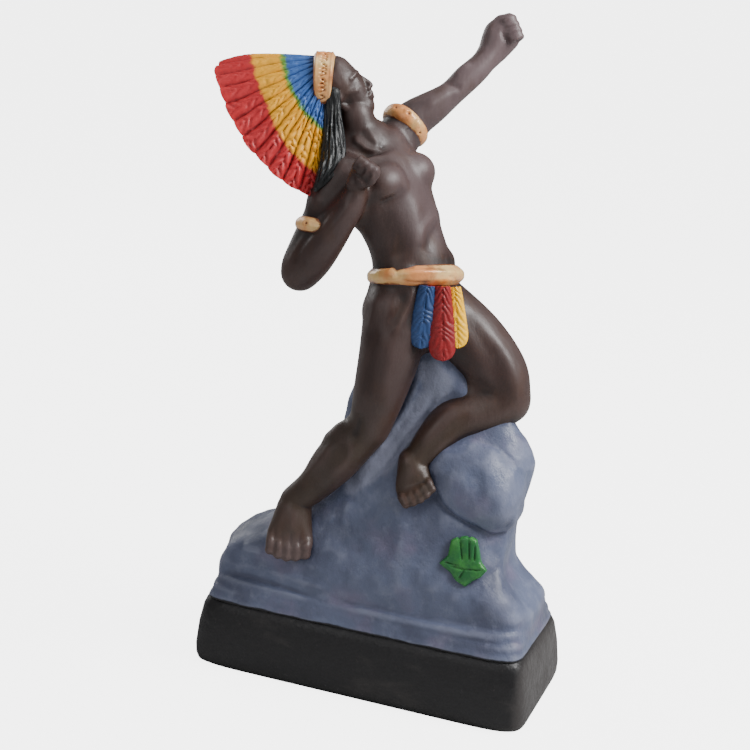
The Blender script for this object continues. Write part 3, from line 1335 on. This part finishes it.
def makeGoldPaint():
    tree, shader, where = startPaint("goldPaint", gold["sheen"])
    colour = layOver(tree, gold["copper"], [
        (gold["yellow"], noiseOn(tree, where, 70, 4), 0.35, 0.7, 1),
        (gold["antique"], noiseOn(tree, where, 95, 4), 0.54, 0.74, 0.7),
        (gold["antique"], keptOn(tree, "relief"), -0.05, -0.5, 0.95),
    ])
    roughness = rangeOf(tree, noiseOn(tree, where, 160, 4), 0.3, 0.7, 0.3, 0.46)
    finishPaint(tree, shader, colour, roughness, noiseOn(tree, where, 380, 3), 0.00025)


def makeHairPaint():
    tree, shader, where = startPaint("hairPaint")
    brushed = noiseOn(tree, drawnOut(tree, where, (1, 1, 0.16), (0, -18, 0)), 420, 3)
    colour = layOver(tree, hairs["black"], [
        (hairs["grey"], keptOn(tree, "relief"), 0.2, 0.9, 0.8), (hairs["grey"], brushed, 0.55, 0.75, 0.45),
    ])
    finishPaint(tree, shader, colour, rangeOf(tree, brushed, 0.3, 0.7, 0.34, 0.5), brushed, 0.0004)


def makeRockPaint():
    tree, shader, where = startPaint("rockPaint")
    relief = keptOn(tree, "relief")
    brushed = drawnOut(tree, where, (0.8, 1, 0.7), (0, 28, 0))
    patch = mathOf(tree, "SUBTRACT", keptOn(tree, "palePatch"), 0.25)
    patch = mathOf(tree, "MULTIPLY_ADD", noiseOn(tree, where, 150, 4), 0.5, patch)
    edge = mathOf(tree, "MULTIPLY_ADD", noiseOn(tree, where, 45, 3), 0.003, partOf(tree, where, "Z"))
    colour = layOver(tree, rocks["blue"], [
        (rocks["deep"], noiseOn(tree, where, 22, 5), 0.38, 0.66, 1),
        (rocks["violet"], noiseOn(tree, where, 34, 3), 0.5, 0.72, 0.6),
        (rocks["pale"], noiseOn(tree, brushed, 130, 5, 0.65), 0.5, 0.75, 0.3),
        (rocks["pale"], patch, 0.3, 0.75, 0.75), (rocks["pale"], relief, 0.1, 0.9, 0.45),
        (rocks["deep"], relief, -0.1, -0.9, 0.7),
        (rocks["black"], edge, rocks["lap"] + 0.0022, rocks["lap"] + 0.0012, 1),
    ])
    roughness = rangeOf(tree, noiseOn(tree, brushed, 120, 4), 0.3, 0.7, 0.34, 0.56)
    finishPaint(tree, shader, colour, roughness, noiseOn(tree, brushed, 210, 6, 0.65), 0.0007)


def makePlinthPaint():
    tree, shader, where = startPaint("plinthPaint")
    streaks = noiseOn(tree, drawnOut(tree, where, (0.35, 1, 1)), 60, 6, 0.65)
    colour = layOver(tree, plinths["black"], [(plinths["worn"], *layer) for layer in (
        (streaks, 0.5, 0.72, 0.6), (partOf(tree, where, "X"), 0.0985, 0.104, 0.75),
        (noiseOn(tree, where, 330, 2), 0.68, 0.78, 0.5), (keptOn(tree, "relief"), 0.1, 0.8, 0.1),
    )])
    roughness = rangeOf(tree, streaks, 0.35, 0.7, 0.36, 0.55)
    finishPaint(tree, shader, colour, roughness, noiseOn(tree, where, 160, 6, 0.6), 0.0009)


def makeLeafPaint():
    tree, shader, where = startPaint("leafPaint")
    colour = layOver(tree, leaves["green"], [
        (leaves["pale"], noiseOn(tree, where, 140, 4), 0.4, 0.7, 1),
        (leaves["dark"], keptOn(tree, "relief"), -0.03, -0.5, 0.9),
    ])
    roughness = rangeOf(tree, noiseOn(tree, where, 160), 0.3, 0.7, 0.3, 0.45)
    finishPaint(tree, shader, colour, roughness, noiseOn(tree, where, 400, 3), 0.0003)


for makePaint in (
    makeFeatherPaint, makeSkinPaint, makeGoldPaint, makeHairPaint,
    makeRockPaint, makePlinthPaint, makeLeafPaint,
):
    makePaint()


def makeCamera():
    right, above, back, place = cameraAxes()
    turned = Matrix((right, above, back)).transposed().to_4x4()
    turned.translation = place * mm
    lens = bpy.data.cameras.new("camera")
    lens.lens = view["lens"]
    lens.sensor_width = view["sensor"]
    camera = bpy.data.objects.new("camera", lens)
    camera.matrix_world = turned
    bpy.context.scene.collection.objects.link(camera)
    bpy.context.scene.camera = camera


# A bright tent: place, size in metres and watts of each lamp, the light of the air and of the backdrop.
studio = {
    "lamps": {
        "keyLight": ((1.05, 0.05, 1.1), 0.8, 28), "fillLight": ((-0.4, -1.6, 1.1), 1.2, 5),
        "leftLight": ((-1.4, 0.8, 0.8), 1.0, 8), "topLight": ((0.1, 0.2, 1.9), 1.0, 6),
    },
    "aim": (0, 0, 0.2), "air": 0.2, "backdrop": 5, "floorGlow": 4.6, "floorGrey": 0.5, "floorSize": 60,
}


def makeFloor():
    bm = bmesh.new()
    bmesh.ops.create_grid(bm, x_segments=2, y_segments=2, size=studio["floorSize"])
    floor = objectFrom("floor", bm)
    pale = bpy.data.materials.new("paleFloor")
    pale.use_nodes = True
    tree = pale.node_tree
    shader = tree.nodes["Principled BSDF"]
    shader.inputs["Base Color"].default_value = (*(studio["floorGrey"],) * 3, 1)
    shader.inputs["Roughness"].default_value = 0.9
    shader.inputs["Emission Color"].default_value = (1, 1, 1, 1)
    glow = mathOf(tree, "MULTIPLY", put(tree, "LightPath").outputs["Is Camera Ray"], studio["floorGlow"])
    tree.links.new(glow, shader.inputs["Emission Strength"])
    floor.data.materials.append(pale)


def makeLight(name, place, size, power):
    lamp = bpy.data.lights.new(name, "AREA")
    lamp.shape = "DISK"
    lamp.size = size
    lamp.energy = power
    made = bpy.data.objects.new(name, lamp)
    made.location = place
    made.rotation_euler = (Vector(studio["aim"]) - Vector(place)).to_track_quat("-Z", "Y").to_euler()
    bpy.context.scene.collection.objects.link(made)


def makeStudio():
    makeFloor()
    for name, lamp in studio["lamps"].items():
        makeLight(name, *lamp)
    world = bpy.data.worlds.new("world")
    world.use_nodes = True
    tree = world.node_tree
    ground = tree.nodes["Background"]
    ground.inputs["Color"].default_value = (1, 1, 1, 1)
    seen = put(tree, "LightPath").outputs["Is Camera Ray"]
    strength = mathOf(tree, "MULTIPLY_ADD", seen, studio["backdrop"] - studio["air"], studio["air"])
    tree.links.new(strength, ground.inputs["Strength"])
    bpy.context.scene.world = world


makeCamera()
makeStudio()
